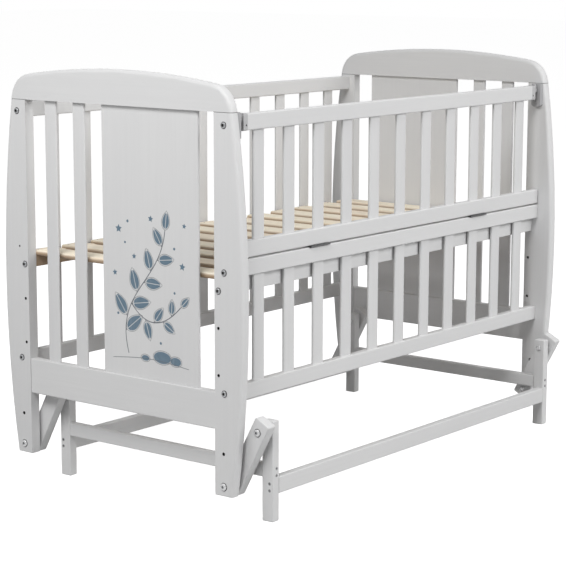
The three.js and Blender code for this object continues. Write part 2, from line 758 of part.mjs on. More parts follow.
// The four links, leaning from their upper pivots
function links() {
  const group = new THREE.Group();
  for (const [x_side, hand] of [[-1, 'left'], [1, 'right']]) {
    for (const [y_side, depth] of [[-1, 'front'], [1, 'back']]) {
      const mesh = place(group, `swing_link_${depth}_${hand}`, link(), grey_paint);
      mesh.position.set(x_side * (link_outer_x + link_inner_x) / 2, y_side * pivot_plane, post_pivot_height);
      mesh.rotation.x = swing_lean;
    }
  }
  return group;
}

// Everything that swings as one with the cot
function cot() {
  const group = new THREE.Group();
  group.add(end_frame('left_end', ['leg_front_left', 'leg_back_left'], 0));
  group.add(end_frame('right_end', ['leg_back_right', 'leg_front_right'], Math.PI));
  slatted_section(group, -side_plane, 'front_low_rail_with_slats', low_rail_bottom,
    'front_middle_rail', middle_rail_bottom);
  slatted_section(group, side_plane, 'back_bottom_rail_with_slats', low_rail_bottom,
    'back_top_rail', top_rail_bottom);
  base(group);
  for (const [x_side, hand] of [[-1, 'left'], [1, 'right']]) {
    place(group, `fixed_hinge_leaf_${hand}`, fixed_leaf(), steel)
      .position.set(x_side * hinge_spacing / 2, -fold_out, fold_height);
    place(group, `latch_keeper_${hand}`, keeper(x_side), grey_plastic);
    for (const [y_side, depth] of [[-1, 'front'], [1, 'back']]) {
      const bolt = place(group, `lower_pivot_bolt_${depth}_${hand}`,
        pivot_bolt(end_thickness, link_thickness), steel);
      bolt.position.set(x_side * (end_inner_x + end_thickness), y_side * pivot_plane, leg_pivot_height);
      bolt.rotation.y = x_side < 0 ? 0 : Math.PI;
    }
  }
  group.add(gate());
  group.position.set(0, swing_shift, cot_lift);
  return group;
}

// The whole crib, with the middle of its footprint at the origin
const crib = new THREE.Group();
crib.add(stand(), links(), cot());
const extent = new THREE.Box3().setFromObject(crib, true);
crib.position.y = -(extent.min.y + extent.max.y) / 2;

export default crib;
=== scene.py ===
import json
import math
from collections import namedtuple

import bmesh
import bpy
from mathutils import Matrix, Vector
from mathutils.geometry import convex_hull_2d


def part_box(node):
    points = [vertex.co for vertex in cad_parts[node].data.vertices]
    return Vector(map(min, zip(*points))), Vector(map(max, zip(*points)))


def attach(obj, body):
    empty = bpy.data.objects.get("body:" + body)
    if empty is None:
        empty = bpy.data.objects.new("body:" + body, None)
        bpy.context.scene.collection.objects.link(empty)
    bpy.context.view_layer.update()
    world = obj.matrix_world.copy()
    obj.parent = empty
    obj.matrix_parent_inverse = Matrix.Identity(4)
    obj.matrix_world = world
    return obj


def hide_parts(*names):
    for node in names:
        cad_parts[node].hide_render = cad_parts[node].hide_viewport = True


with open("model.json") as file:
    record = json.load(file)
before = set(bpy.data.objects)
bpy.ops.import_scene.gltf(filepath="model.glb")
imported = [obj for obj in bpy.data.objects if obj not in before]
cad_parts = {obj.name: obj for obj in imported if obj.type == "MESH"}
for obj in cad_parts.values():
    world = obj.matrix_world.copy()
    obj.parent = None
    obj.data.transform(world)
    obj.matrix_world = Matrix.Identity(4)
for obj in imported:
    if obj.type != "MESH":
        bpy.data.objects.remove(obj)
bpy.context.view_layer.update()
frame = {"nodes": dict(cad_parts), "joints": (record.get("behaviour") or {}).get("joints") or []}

NODES = frame["nodes"]
JOINTS = {joint["name"]: joint for joint in frame["joints"]}


# Sizes and places, in metres, worked out from the frame

MM = 0.001
HANDS = (("left", -1), ("right", 1))
DEPTHS = (("front", -1), ("back", 1))

# Each corner of the cot: its name, its side along X and its way along Y
CORNERS = [(f"{depth}_{hand}", side, way) for hand, side in HANDS for depth, way in DEPTHS]

SIDE_RAIL_HEIGHT = 35 * MM
END_RAIL_HEIGHT = 80 * MM

# How far the bolts of a leg lie off the middles of the rails that they hold
TOP_BOLT_DROP = 3 * MM
MIDDLE_BOLT_DROP = 4 * MM
BASE_BOLT_DROP = 4.5 * MM
LOW_BOLT_RISE = 4 * MM


def middle(node):
    """Middle of a node's box."""
    low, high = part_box(node)
    return (low + high) / 2


def thickness(node):
    low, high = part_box(node)
    return high.x - low.x


def towards(side, low, high):
    """The lower or the higher value, whichever lies on a side."""
    return high if side > 0 else low


COT_Y = (middle("leg_front_left").y + middle("leg_back_left").y) / 2
FOOT_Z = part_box("leg_front_left")[0].z
END_FACE_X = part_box("leg_front_right")[1].x
LEG_MIDDLE_X = middle("leg_front_right").x
LEG_THICKNESS = thickness("leg_front_right")
LINK_THICKNESS = thickness("swing_link_front_left")
UPPER_PIVOT = Vector(JOINTS["swing"]["pos_m"])
LOWER_PIVOT = Vector(JOINTS["cot_level"]["pos_m"])
GATE_AXIS_Z = JOINTS["gate_fold"]["pos_m"][2]

# Distances of bolts and pivots from the middle of the cot, front to back
PIVOT_Y = COT_Y - LOWER_PIVOT.y
SIDE_BOLT_Y = COT_Y - middle("front_middle_rail").y
BASE_BOLT_Y = COT_Y - middle("base_front_rail").y

TOP_BOLT_Z = middle("back_top_rail").z - TOP_BOLT_DROP
MIDDLE_BOLT_Z = middle("front_middle_rail").z - MIDDLE_BOLT_DROP
BASE_BOLT_Z = middle("base_front_rail").z - BASE_BOLT_DROP
LOW_BOLT_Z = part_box("front_low_rail_with_slats")[0].z + SIDE_RAIL_HEIGHT / 2 + LOW_BOLT_RISE


def add_object(name, data):
    """A new object in the scene."""
    added = bpy.data.objects.new(name, data)
    bpy.context.scene.collection.objects.link(added)
    return added


# Camera at the photograph's viewing angle

PHOTO_SIZE = 566
FOCAL_PIXELS = 1905.31
PRINCIPAL_PIXEL = (289.06, 294.74)
SENSOR = 36.0
VIEW_REACH = 50.0
CAMERA_PLACE = Vector((-3.5660, -2.7710 + COT_Y, 1.1601))
CAMERA_YAW = math.radians(51.92)
CAMERA_PITCH = math.radians(9.95)
CAMERA_ROLL = math.radians(0.14)


def make_camera():
    data = bpy.data.cameras.new("photo_camera")
    camera = add_object("photo_camera", data)
    data.sensor_width = SENSOR
    data.lens = FOCAL_PIXELS / PHOTO_SIZE * SENSOR
    data.shift_x = -(PRINCIPAL_PIXEL[0] - PHOTO_SIZE / 2) / PHOTO_SIZE
    data.shift_y = (PRINCIPAL_PIXEL[1] - PHOTO_SIZE / 2) / PHOTO_SIZE
    data.clip_end = VIEW_REACH
    ahead = Vector((
        math.sin(CAMERA_YAW) * math.cos(CAMERA_PITCH),
        math.cos(CAMERA_YAW) * math.cos(CAMERA_PITCH),
        -math.sin(CAMERA_PITCH),
    ))
    level = Vector((math.cos(CAMERA_YAW), -math.sin(CAMERA_YAW), 0.0))
    up = level.cross(ahead)
    right = math.cos(CAMERA_ROLL) * level + math.sin(CAMERA_ROLL) * up
    up = right.cross(ahead)
    turn = Matrix((right, up, -ahead)).transposed()
    camera.matrix_world = Matrix.Translation(CAMERA_PLACE) @ turn.to_4x4()
    bpy.context.scene.camera = camera


# Looks

class Look:
    """The nodes of a material or of the world, with short ways to add the kinds used here."""

    def __init__(self, owner):
        owner.use_nodes = True
        self.owner = owner
        self.nodes = owner.node_tree.nodes
        self.links = owner.node_tree.links

    def fill(self, node, values):
        """Sets a node's inputs to numbers and colours, or joins them to other nodes."""
        for name, value in values.items():
            if isinstance(value, bpy.types.NodeSocket):
                self.links.new(value, node.inputs[name])
            else:
                node.inputs[name].default_value = value

    def add(self, kind, values):
        node = self.nodes.new(kind)
        self.fill(node, values)
        return node

    def shade(self, values, shader="Principled BSDF"):
        """Fills the shader and gives back what it belongs to."""
        self.fill(self.nodes[shader], values)
        return self.owner

    def along(self, axis="X", squeeze=1.0):
        """Object coordinates pressed together along the grain, so that patterns run along it."""
        scale = [1.0, 1.0, 1.0]
        scale["XYZ".index(axis)] = squeeze
        coordinates = self.nodes.new("ShaderNodeTexCoord")
        mapping = self.add("ShaderNodeMapping", {"Vector": coordinates.outputs["Object"], "Scale": scale})
        return mapping.outputs["Vector"]

    def noise(self, place, scale, detail, roughness=0.5, distortion=0.0):
        node = self.add("ShaderNodeTexNoise", {
            "Vector": place, "Scale": scale, "Detail": detail,
            "Roughness": roughness, "Distortion": distortion,
        })
        return node.outputs["Fac"]

    def ramp(self, value, span, result):
        """Stretches one span of values over another."""
        node = self.add("ShaderNodeMapRange", {
            "Value": value, "From Min": span[0], "From Max": span[1],
            "To Min": result[0], "To Max": result[1],
        })
        return node.outputs["Result"]

    def mix(self, factor, first, second):
        """Mixes two colours by a factor."""
        node = self.nodes.new("ShaderNodeMix")
        node.data_type = "RGBA"
        self.fill(node, {0: factor, 6: first, 7: second})
        return node.outputs[2]

    def bump(self, height, strength, distance):
        node = self.add("ShaderNodeBump", {"Height": height, "Strength": strength, "Distance": distance})
        return node.outputs["Normal"]

    def seen(self):
        """One for rays from the camera, from gloss and through glass, nought for those that light."""
        path = self.nodes.new("ShaderNodeLightPath")
        value = path.outputs["Is Camera Ray"]
        for ray in ("Is Glossy Ray", "Is Transmission Ray"):
            larger = self.add("ShaderNodeMath", {0: value, 1: path.outputs[ray]})
            larger.operation = "MAXIMUM"
            value = larger.outputs[0]
        return value


def srgb(red, green, blue):
    """Linear colour of an sRGB one given from 0 to 255."""
    def linear(value):
        value /= 255
        return value / 12.92 if value <= 0.04045 else ((value + 0.055) / 1.055) ** 2.4
    return (linear(red), linear(green), linear(blue), 1.0)


def grey(value):
    return (value, value, value, 1.0)


# Materials

NOISE_SPAN = (0.3, 0.7)  # holds nearly all the values of a noise

PAINT_LIGHT = srgb(218, 218, 218)
PAINT_DARK = srgb(215, 215, 215)
PAINT_DULL = srgb(211, 211, 212)
PINE_PALE = srgb(255, 249, 232)
PINE_RING = srgb(244, 224, 192)
PINE_FIBRE = srgb(250, 237, 212)
PINE_WARM = srgb(245, 224, 202)
# Painted shade for the faces of bare pine that look sideways or down
PINE_SIDE_SHADE = srgb(150, 122, 95)
PINE_KNOT = srgb(150, 108, 70)
# Painted shade inside recesses, holes and joints, in a deep and a lighter tone
RECESS_SHADE_DEEP = srgb(30, 30, 31)
RECESS_SHADE_LIGHT = srgb(52, 51, 50)


def painted_wood(axis):
    """Satin light grey paint over pine, whose grain shows faintly through it along one axis."""
    look = Look(bpy.data.materials.new(f"grey_paint_{axis.lower()}"))
    grain = look.noise(look.along(axis, 0.035), scale=150.0, detail=5.0, roughness=0.55, distortion=0.3)
    broad = look.noise(look.along(axis, 0.25), scale=7.0, detail=3.0)
    fine = look.noise(look.along(), scale=900.0, detail=2.0)
    color = look.mix(look.ramp(grain, NOISE_SPAN, (0.0, 1.0)), PAINT_DARK, PAINT_LIGHT)
    color = look.mix(look.ramp(broad, NOISE_SPAN, (0.0, 0.5)), color, PAINT_DULL)
    relief = look.add("ShaderNodeBump", {
        "Height": fine, "Strength": 0.05, "Distance": 0.0002,
        "Normal": look.bump(grain, strength=0.06, distance=0.0005),
    })
    return look.shade({
        "Base Color": color,
        "Roughness": look.ramp(broad, NOISE_SPAN, (0.42, 0.54)),
        "Normal": relief.outputs["Normal"],
        "Specular IOR Level": 0.4,
        "Coat Weight": 0.08,
        "Coat Roughness": 0.3,
    })


def bare_pine():
    """Pine without finish along Y: pale planed faces, painted shade on faces that look sideways or down,
    growth lines, a few knots.
    """
    look = Look(bpy.data.materials.new("bare_pine_y"))
    rings = look.add("ShaderNodeTexWave", {
        "Vector": look.along("Y", 0.05),
        "Scale": 36.0, "Distortion": 9.0, "Detail": 3.0, "Detail Scale": 0.8,
    })
    rings.wave_type = "BANDS"
    rings.bands_direction = "X"
    fibre = look.noise(look.along("Y", 0.03), scale=420.0, detail=6.0, roughness=0.65)
    patch = look.noise(look.along("Y", 0.3), scale=14.0, detail=2.0)
    knots = look.add("ShaderNodeTexVoronoi", {"Vector": look.along("Y", 0.55), "Scale": 4.2})
    geometry = look.nodes.new("ShaderNodeNewGeometry")
    up_facing = look.add("ShaderNodeSeparateXYZ", {"Vector": geometry.outputs["Normal"]})
    color = look.mix(look.ramp(rings.outputs["Fac"], (0.35, 1.0), (0.0, 0.6)), PINE_PALE, PINE_RING)
    color = look.mix(look.ramp(fibre, (0.35, 0.75), (0.0, 0.5)), color, PINE_FIBRE)
    color = look.mix(look.ramp(patch, (0.4, 0.75), (0.0, 0.6)), color, PINE_WARM)
    # Painted shade: the less a face looks upwards, the more of the side shade colour it takes
    color = look.mix(look.ramp(up_facing.outputs["Z"], (0.1, 0.95), (0.85, 0.0)), color, PINE_SIDE_SHADE)
    color = look.mix(look.ramp(knots.outputs["Distance"], (0.025, 0.05), (0.8, 0.0)), color, PINE_KNOT)
    return look.shade({
        "Base Color": color,
        "Roughness": look.ramp(fibre, NOISE_SPAN, (0.55, 0.72)),
        "Normal": look.bump(fibre, strength=0.2, distance=0.0006),
        "Specular IOR Level": 0.3,
    })


def plated_steel(name, dark, light, metallic):
    """Zinc-plated steel with fine turning marks and slight mottling."""
    look = Look(bpy.data.materials.new(name))
    marks = look.noise(look.along("X", 0.2), scale=1400.0, detail=3.0)
    mottle = look.noise(look.along(), scale=260.0, detail=3.0)
    return look.shade({
        "Base Color": look.mix(mottle, dark, light),
        "Roughness": look.ramp(mottle, NOISE_SPAN, (0.28, 0.44)),
        "Normal": look.bump(marks, strength=0.12, distance=0.0002),
        "Metallic": metallic,
    })


def recess_shade():
    """Painted shade: near-black, for the shadowed inside of a socket or a drilled hole, and for shadow
    lines at joints and round bolt heads.
    """
    look = Look(bpy.data.materials.new("recess_shade"))
    grain = look.noise(look.along(), scale=700.0, detail=3.0)
    return look.shade({
        "Base Color": look.mix(grain, RECESS_SHADE_DEEP, RECESS_SHADE_LIGHT),
        "Roughness": look.ramp(grain, NOISE_SPAN, (0.7, 0.9)),
        "Specular IOR Level": 0.2,
    })


def moulded_plastic(name, dark, light):
    """Grey moulded plastic with a fine sparked texture."""
    look = Look(bpy.data.materials.new(name))
    spark = look.noise(look.along(), scale=1600.0, detail=2.0)
    cloud = look.noise(look.along(), scale=60.0, detail=2.0)
    return look.shade({
        "Base Color": look.mix(cloud, dark, light),
        "Roughness": look.ramp(cloud, NOISE_SPAN, (0.36, 0.46)),
        "Normal": look.bump(spark, strength=0.15, distance=0.00015),
    })


def print_ink(name, dark, light):
    """Printed ink, slightly uneven, that shows the paint's grain."""
    look = Look(bpy.data.materials.new(name))
    grain = look.noise(look.along("Z", 0.06), scale=240.0, detail=5.0)
    blot = look.noise(look.along(), scale=130.0, detail=3.0)
    color = look.mix(look.ramp(blot, NOISE_SPAN, (0.0, 0.6)), light, dark)
    color = look.mix(look.ramp(grain, (0.55, 0.8), (0.0, 0.2)), color, PAINT_DARK)
    return look.shade({
        "Base Color": color,
        "Roughness": look.ramp(blot, NOISE_SPAN, (0.4, 0.5)),
        "Normal": look.bump(grain, strength=0.08, distance=0.0004),
    })


PAINT = {axis: painted_wood(axis) for axis in "XYZ"}
PINE = bare_pine()
STEEL = plated_steel("zinc_steel", srgb(122, 123, 125), srgb(152, 153, 154), metallic=0.85)
PIVOT_STEEL = plated_steel("pivot_steel", srgb(186, 187, 188), srgb(206, 206, 206), metallic=0.35)
# Dark steel: painted shade for the hinges in the gap under the gate; the latch screws are drawn in it too
SHADED_HINGE_STEEL = plated_steel("shaded_hinge_steel", srgb(54, 54, 56), srgb(92, 92, 94), metallic=0.6)
PAINTED_SHADE = recess_shade()
PLASTIC = moulded_plastic("latch_plastic", srgb(177, 177, 178), srgb(187, 187, 188))
# Darker than the housing's plastic: painted shade for the keeper in the corner against the leg
SHADED_KEEPER_PLASTIC = moulded_plastic("shaded_keeper_plastic", srgb(160, 160, 162), srgb(172, 172, 173))
INK = print_ink("slate_ink", srgb(84, 106, 123), srgb(94, 117, 133))
LINE_INK = print_ink("line_ink", srgb(78, 84, 92), srgb(92, 98, 105))


# CAD nodes: each keeps its mesh, gets its material, and is shaded smooth over its round edges

SMOOTH_BELOW = math.radians(46)
WELD_DISTANCE = 0.02 * MM
FLAT_FACE_WEIGHT = 90

# Rails that are one solid with the slats on them: the way of their grain, and their height
RAILS_UNDER_SLATS = {
    "front_low_rail_with_slats": ("X", SIDE_RAIL_HEIGHT),
    "back_bottom_rail_with_slats": ("X", SIDE_RAIL_HEIGHT),
    "left_end_bottom_rail": ("Y", END_RAIL_HEIGHT),
    "right_end_bottom_rail": ("Y", END_RAIL_HEIGHT),
}


def smoothing_nodes():
    """Geometry nodes that shade faces smooth but keep the sharp edges."""
    tree = bpy.data.node_groups.new("smooth_rounds", "GeometryNodeTree")
    tree.interface.new_socket("Geometry", in_out="INPUT", socket_type="NodeSocketGeometry")
    tree.interface.new_socket("Geometry", in_out="OUTPUT", socket_type="NodeSocketGeometry")
    nodes, links = tree.nodes, tree.links
    start = nodes.new("NodeGroupInput")
    end = nodes.new("NodeGroupOutput")
    angle = nodes.new("GeometryNodeInputMeshEdgeAngle")
    compare = nodes.new("FunctionNodeCompare")
    compare.operation = "GREATER_THAN"
    compare.inputs[1].default_value = SMOOTH_BELOW
    faces = nodes.new("GeometryNodeSetShadeSmooth")
    faces.domain = "FACE"
    edges = nodes.new("GeometryNodeSetShadeSmooth")
    edges.domain = "EDGE"
    edges.inputs["Shade Smooth"].default_value = False
    links.new(angle.outputs["Unsigned Angle"], compare.inputs[0])
    links.new(start.outputs[0], faces.inputs["Geometry"])
    links.new(faces.outputs["Geometry"], edges.inputs["Geometry"])
    links.new(compare.outputs["Result"], edges.inputs["Selection"])
    links.new(edges.outputs["Geometry"], end.inputs[0])
    return tree


SMOOTHING = smoothing_nodes()


def add_weld(piece):
    weld = piece.modifiers.new("weld", "WELD")
    weld.merge_threshold = WELD_DISTANCE


def smooth(piece):
    add_weld(piece)
    rounds = piece.modifiers.new("smooth_rounds", "NODES")
    rounds.node_group = SMOOTHING
    flats = piece.modifiers.new("flat_faces", "WEIGHTED_NORMAL")
    flats.keep_sharp = True
    flats.weight = FLAT_FACE_WEIGHT


def grain_axis(node):
    """The way of a node's grain: along its longest side, but upright in the wide panels."""
    if "wide_panel" in node:
        return "Z"
    if node in RAILS_UNDER_SLATS:
        return RAILS_UNDER_SLATS[node][0]
    low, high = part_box(node)
    size = high - low
    return "XYZ"[max(range(3), key=lambda i: size[i])]


def node_material(node):
    if "bolt" in node:
        return STEEL
    if "hinge_leaf" in node:
        return SHADED_HINGE_STEEL
    if node.startswith("latch_keeper"):
        return SHADED_KEEPER_PLASTIC
    if node.startswith("latch"):
        return PLASTIC
    if node == "base_back_rail_with_slats":
        return PINE
    return PAINT[grain_axis(node)]


def dress_slats(name, piece):
    """Turns the grain of the slats that stand on a rail upright; the rail keeps its own."""
    piece.data.materials.append(PAINT["Z"])
    rail_height = RAILS_UNDER_SLATS[name][1]
    rail_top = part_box(name)[0].z + rail_height + WELD_DISTANCE
    for polygon in piece.data.polygons:
        height = (piece.matrix_world @ polygon.center).z
        polygon.material_index = 1 if height > rail_top else 0


def dress_nodes():
    for name, piece in NODES.items():
        piece.data.materials.clear()
        piece.data.materials.append(node_material(name))
        if name in RAILS_UNDER_SLATS:
            dress_slats(name, piece)
        smooth(piece)


# Mesh helpers

ROUND_SIDES = 24
ORIGIN = Vector((0, 0, 0))
TINY = 0.001  # stands for the sine of nought, for nothing can be divided by nought

# A ring of a form: its outline, which is a list of angles and radii, its height, and the number
# of the material of the faces up to it
Ring = namedtuple("Ring", "outline height material", defaults=(0,))


def circle(radius, sides=ROUND_SIDES):
    return [(math.tau * i / sides, radius) for i in range(sides)]


def hexagon(across):
    """A hexagon's outline, its size given across its flats."""
    sixth = math.pi / 3
    outline = []
    for angle, _ in circle(across / 2):
        off = (angle + sixth / 2) % sixth - sixth / 2
        outline.append((angle, across / 2 / math.cos(off)))
    return outline


def cross(reach, half_width):
    """A cross recess: in each quarter, half an arm, the inner corner and half the next arm."""
    def arm(along, over):
        return min(reach / along, half_width / over)

    tip = math.atan2(half_width, reach)
    outline = []
    for quarter in range(4):
        for angle in (0.0, tip, math.pi / 8, math.pi / 4, 3 * math.pi / 8, math.pi / 2 - tip):
            cosine = math.cos(angle)
            sine = max(math.sin(angle), TINY)
            outline.append((quarter * math.pi / 2 + angle, max(arm(cosine, sine), arm(sine, cosine))))
    return outline


def like(outline, radius):
    """A circle with its points at another outline's angles."""
    return [(angle, radius) for angle, _ in outline]


def ring_corners(bm, ring, place=ORIGIN):
    corners = []
    for angle, radius in ring.outline:
        offset = Vector((radius * math.cos(angle), radius * math.sin(angle), ring.height))
        corners.append(bm.verts.new(place + offset))
    return corners


def skin(bm, lower, upper, material=0):
    """Four-cornered faces between two loops of as many corners."""
    for i, corner in enumerate(lower):
        following = (i + 1) % len(lower)
        face = bm.faces.new((corner, lower[following], upper[following], upper[i]))
        face.material_index = material


def turned(bm, rings, place=ORIGIN):
    """Adds a closed form made of a stack of rings."""
    loops = [ring_corners(bm, ring, place) for ring in rings]
    for lower, upper, ring in zip(loops, loops[1:], rings[1:]):
        skin(bm, lower, upper, ring.material)
    bm.faces.new(loops[0][::-1]).material_index = rings[0].material
    bm.faces.new(loops[-1]).material_index = rings[-1].material


def band(bm, loops):
    """Adds a closed band: each loop of corners is joined to the next one, and the last to the first."""
    for lower, upper in zip(loops, loops[1:] + loops[:1]):
        skin(bm, lower, upper)
    bmesh.ops.recalc_face_normals(bm, faces=bm.faces)


def piece_from(bm, name, materials, place=Matrix()):
    mesh = bpy.data.meshes.new(name)
    bm.to_mesh(mesh)
    bm.free()
    piece = add_object(name, mesh)
    piece.matrix_world = place
    for material in materials:
        mesh.materials.append(material)
    return piece


def prism(corners, shift, name="prism", materials=()):
    """A piece made by moving a flat face along a vector."""
    bm = bmesh.new()
    ends = []
    for offset in (ORIGIN, Vector(shift)):
        ends.append([bm.verts.new(Vector(corner) + offset) for corner in corners])
    bm.faces.new(ends[0])
    bm.faces.new(ends[1][::-1])
    skin(bm, ends[1], ends[0])
    bmesh.ops.recalc_face_normals(bm, faces=bm.faces)
    return piece_from(bm, name, materials)


def round_edges(piece, width, segments):
    rounds = piece.modifiers.new("rounds", "BEVEL")
    rounds.width = width
    rounds.segments = segments
    smooth(piece)


def facing(place, direction):
    """Matrix that puts a form at a place, with its own Z along a direction."""
    return Matrix.Translation(place) @ Vector(direction).to_track_quat("Z", "Y").to_matrix().to_4x4()


# Fasteners: first comes their metal, then the painted shade inside a recess, then the nylon of a nut

FASTENER_MATERIALS = (STEEL, PAINTED_SHADE)
BLACK_SCREW_MATERIALS = (SHADED_HINGE_STEEL, PAINTED_SHADE)
PIVOT_MATERIALS = (PIVOT_STEEL, STEEL, PLASTIC)
INSIDE = 1
NYLON = 2

# A domed head: the outline of its recess, its radius and height, and the depth of the recess
Head = namedtuple("Head", "recess radius height depth")

LEG_BOLT = Head(hexagon(6.0 * MM), 6.6 * MM, 3.2 * MM, 2.2 * MM)
PIVOT_BOLT = Head(hexagon(6.0 * MM), 8.0 * MM, 3.6 * MM, 2.4 * MM)
POST_SCREW = Head(cross(2.3 * MM, 0.55 * MM), 3.6 * MM, 0.6 * MM, 0.5 * MM)
HINGE_SCREW = Head(cross(1.4 * MM, 0.35 * MM), 2.6 * MM, 0.12 * MM, 0.08 * MM)
LATCH_SCREW = Head(cross(1.5 * MM, 0.5 * MM), 2.15 * MM, 0.6 * MM, 0.5 * MM)
KEEPER_SCREW = Head(cross(1.3 * MM, 0.35 * MM), 2.6 * MM, 0.6 * MM, 0.5 * MM)

# Shares of a head's radius and height, and in the last two of its recess's radius
SEAT_RADIUS_SHARE = 0.97
SEAT_HEIGHT_SHARE = 0.12
DOME_FOOT_SHARE = 0.3
WIDEST_FLAT_SHARE = 0.9
FLAT_SHARE = 1.3
RECESS_BOTTOM_SHARE = 0.94

DOME_STEPS = 5
# A ring of painted shadow round a bolt's head: its width, and how far it stands proud
SHADOW_RING_WIDTH = 0.9 * MM
SHADOW_RING_PROUD = 0.1 * MM


def head_rings(head):
    """Rings of a domed head with a recess in its top."""
    foot = DOME_FOOT_SHARE * head.height
    recess_radius = max(radius for _, radius in head.recess)
    flat = min(WIDEST_FLAT_SHARE * head.radius, FLAT_SHARE * recess_radius)
    rings = [
        Ring(like(head.recess, SEAT_RADIUS_SHARE * head.radius), 0.0),
        Ring(like(head.recess, head.radius), SEAT_HEIGHT_SHARE * head.height),
    ]
    for step in range(DOME_STEPS + 1):
        angle = math.pi / 2 * step / DOME_STEPS
        radius = flat + (head.radius - flat) * math.cos(angle)
        height = foot + (head.height - foot) * math.sin(angle)
        rings.append(Ring(like(head.recess, radius), height))
    rings.append(Ring(head.recess, head.height))
    bottom = [(angle, RECESS_BOTTOM_SHARE * radius) for angle, radius in head.recess]
    rings.append(Ring(bottom, head.height - head.depth, INSIDE))
    return rings


def fastener(name, body, place, direction, head, materials=FASTENER_MATERIALS):
    bm = bmesh.new()
    turned(bm, head_rings(head))
    piece = piece_from(bm, name, materials, facing(place, direction))
    smooth(piece)
    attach(piece, body)


def shadow_ring(name, body, place, direction, radius):
    """Painted shadow: a dark ring round the bore that a bolt's head sits in."""
    bm = bmesh.new()
    inner = circle(radius)
    outer = circle(radius + SHADOW_RING_WIDTH)
    turned(bm, [Ring(inner, 0.0), Ring(outer, 0.0), Ring(outer, SHADOW_RING_PROUD), Ring(inner, SHADOW_RING_PROUD)])
    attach(piece_from(bm, name, (PAINTED_SHADE,), facing(place, direction)), body)


def leg_bolt_places(way):
    """Name, distance from the middle of the cot, and height of each bolt of a leg."""
    places = [
        ("top", SIDE_BOLT_Y, TOP_BOLT_Z),
        ("base", BASE_BOLT_Y, BASE_BOLT_Z),
        ("low", SIDE_BOLT_Y, LOW_BOLT_Z),
    ]
    if way < 0:
        places.append(("middle", SIDE_BOLT_Y, MIDDLE_BOLT_Z))
    return places


def leg_bolts():
    for corner, side, way in CORNERS:
        for name, y, z in leg_bolt_places(way):
            place = (side * END_FACE_X, COT_Y + way * y, z)
            fastener(f"leg_bolt_{name}_{corner}", "cot", place, (side, 0, 0), LEG_BOLT)
            shadow_ring(f"shadow_ring_{name}_{corner}", "cot", place, (side, 0, 0), LEG_BOLT.radius)


SIDE_STRETCHER_SCREWS_Z = (68 * MM, 83 * MM)
SIDE_STRETCHER_SCREWS_OUT = 6 * MM
END_STRETCHER_SCREWS_Z = (100 * MM, 115 * MM)
END_STRETCHER_SCREWS_IN = 1.8 * MM


def post_screws():
    """Screws through the posts into the ends of the stretchers."""
    for corner, side, way in CORNERS:
        low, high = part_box(f"post_{corner}")
        centre = (low + high) / 2
        for number, z in enumerate(SIDE_STRETCHER_SCREWS_Z, 1):
            place = (towards(side, low.x, high.x), centre.y + way * SIDE_STRETCHER_SCREWS_OUT, z)
            name = f"side_stretcher_screw_{number}_{corner}"
            fastener(name, "stand", place, (side, 0, 0), POST_SCREW)
        for number, z in enumerate(END_STRETCHER_SCREWS_Z, 1):
            place = (centre.x - side * END_STRETCHER_SCREWS_IN, towards(way, low.y, high.y), z)
            name = f"end_stretcher_screw_{number}_{corner}"
            fastener(name, "stand", place, (0, way, 0), POST_SCREW)


HINGE_SCREW_STEP = 24 * MM
HINGE_SCREW_FROM_BACK = 8 * MM
HINGE_LEAF_OFF_AXIS = 0.2 * MM


def hinge_screws():
    """Three flat screws in each leaf, which show when the gate is folded down."""
    for hand, _ in HANDS:
        for leaf, body, up in (("fixed_hinge_leaf", "cot", 1), ("gate_hinge_leaf", "gate", -1)):
            low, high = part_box(f"{leaf}_{hand}")
            for number in (1, 2, 3):
                x = (low.x + high.x) / 2 + (number - 2) * HINGE_SCREW_STEP
                place = (x, high.y - HINGE_SCREW_FROM_BACK, GATE_AXIS_Z - up * HINGE_LEAF_OFF_AXIS)
                fastener(f"{leaf}_screw_{number}_{hand}", body, place, (0, 0, up), HINGE_SCREW)


LATCH_SCREW_IN = 20.5 * MM
LATCH_SCREW_SUNK = 1.6 * MM
LATCH_SCREW_DROP = 24.6 * MM
KEEPER_SCREW_RISE = 14 * MM


def latch_screws():
    for hand, side in HANDS:
        low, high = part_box(f"latch_housing_{hand}")
        x = towards(side, low.x, high.x) - side * LATCH_SCREW_IN
        place = (x, low.y + LATCH_SCREW_SUNK, high.z - LATCH_SCREW_DROP)
        fastener(f"latch_screw_{hand}", "gate", place, (0, -1, 0), LATCH_SCREW, BLACK_SCREW_MATERIALS)
        low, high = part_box(f"latch_keeper_{hand}")
        place = (towards(-side, low.x, high.x), (low.y + high.y) / 2, low.z + KEEPER_SCREW_RISE)
        fastener(f"keeper_screw_{hand}", "cot", place, (-side, 0, 0), KEEPER_SCREW)


# Pivot bolts

# Radius and thickness of a washer and of the spacer between two washers
WASHER = (10.0 * MM, 1.6 * MM)
SPACER = (8.0 * MM, 4.2 * MM)
WASHER_EDGE = 0.3 * MM
TIMBER_CLEARANCE = 0.6 * MM
SHANK_RADIUS = 4 * MM
SHANK_IN_NUT = 2 * MM

# Lock nut, up from the end of its bolt
LOCK_NUT = (
    Ring(circle(3.6 * MM), 0.6 * MM),
    Ring(circle(4.1 * MM), 0.0, NYLON),
    Ring(circle(5.2 * MM), 0.0, NYLON),
    Ring(circle(5.6 * MM), 0.4 * MM),
    Ring(circle(5.8 * MM), 1.4 * MM),
    Ring(hexagon(12.0 * MM), 1.9 * MM),
    Ring(hexagon(12.0 * MM), 5.1 * MM),
    Ring(circle(5.8 * MM), 5.5 * MM),
)


def washer(bm, radius, height, top):
    """A disc with rounded edges, down from its top."""
    wide = circle(radius)
    narrow = circle(radius - WASHER_EDGE)
    turned(bm, [
        Ring(narrow, top - height),
        Ring(wide, top - height + WASHER_EDGE),
        Ring(wide, top - WASHER_EDGE),
        Ring(narrow, top),
    ])


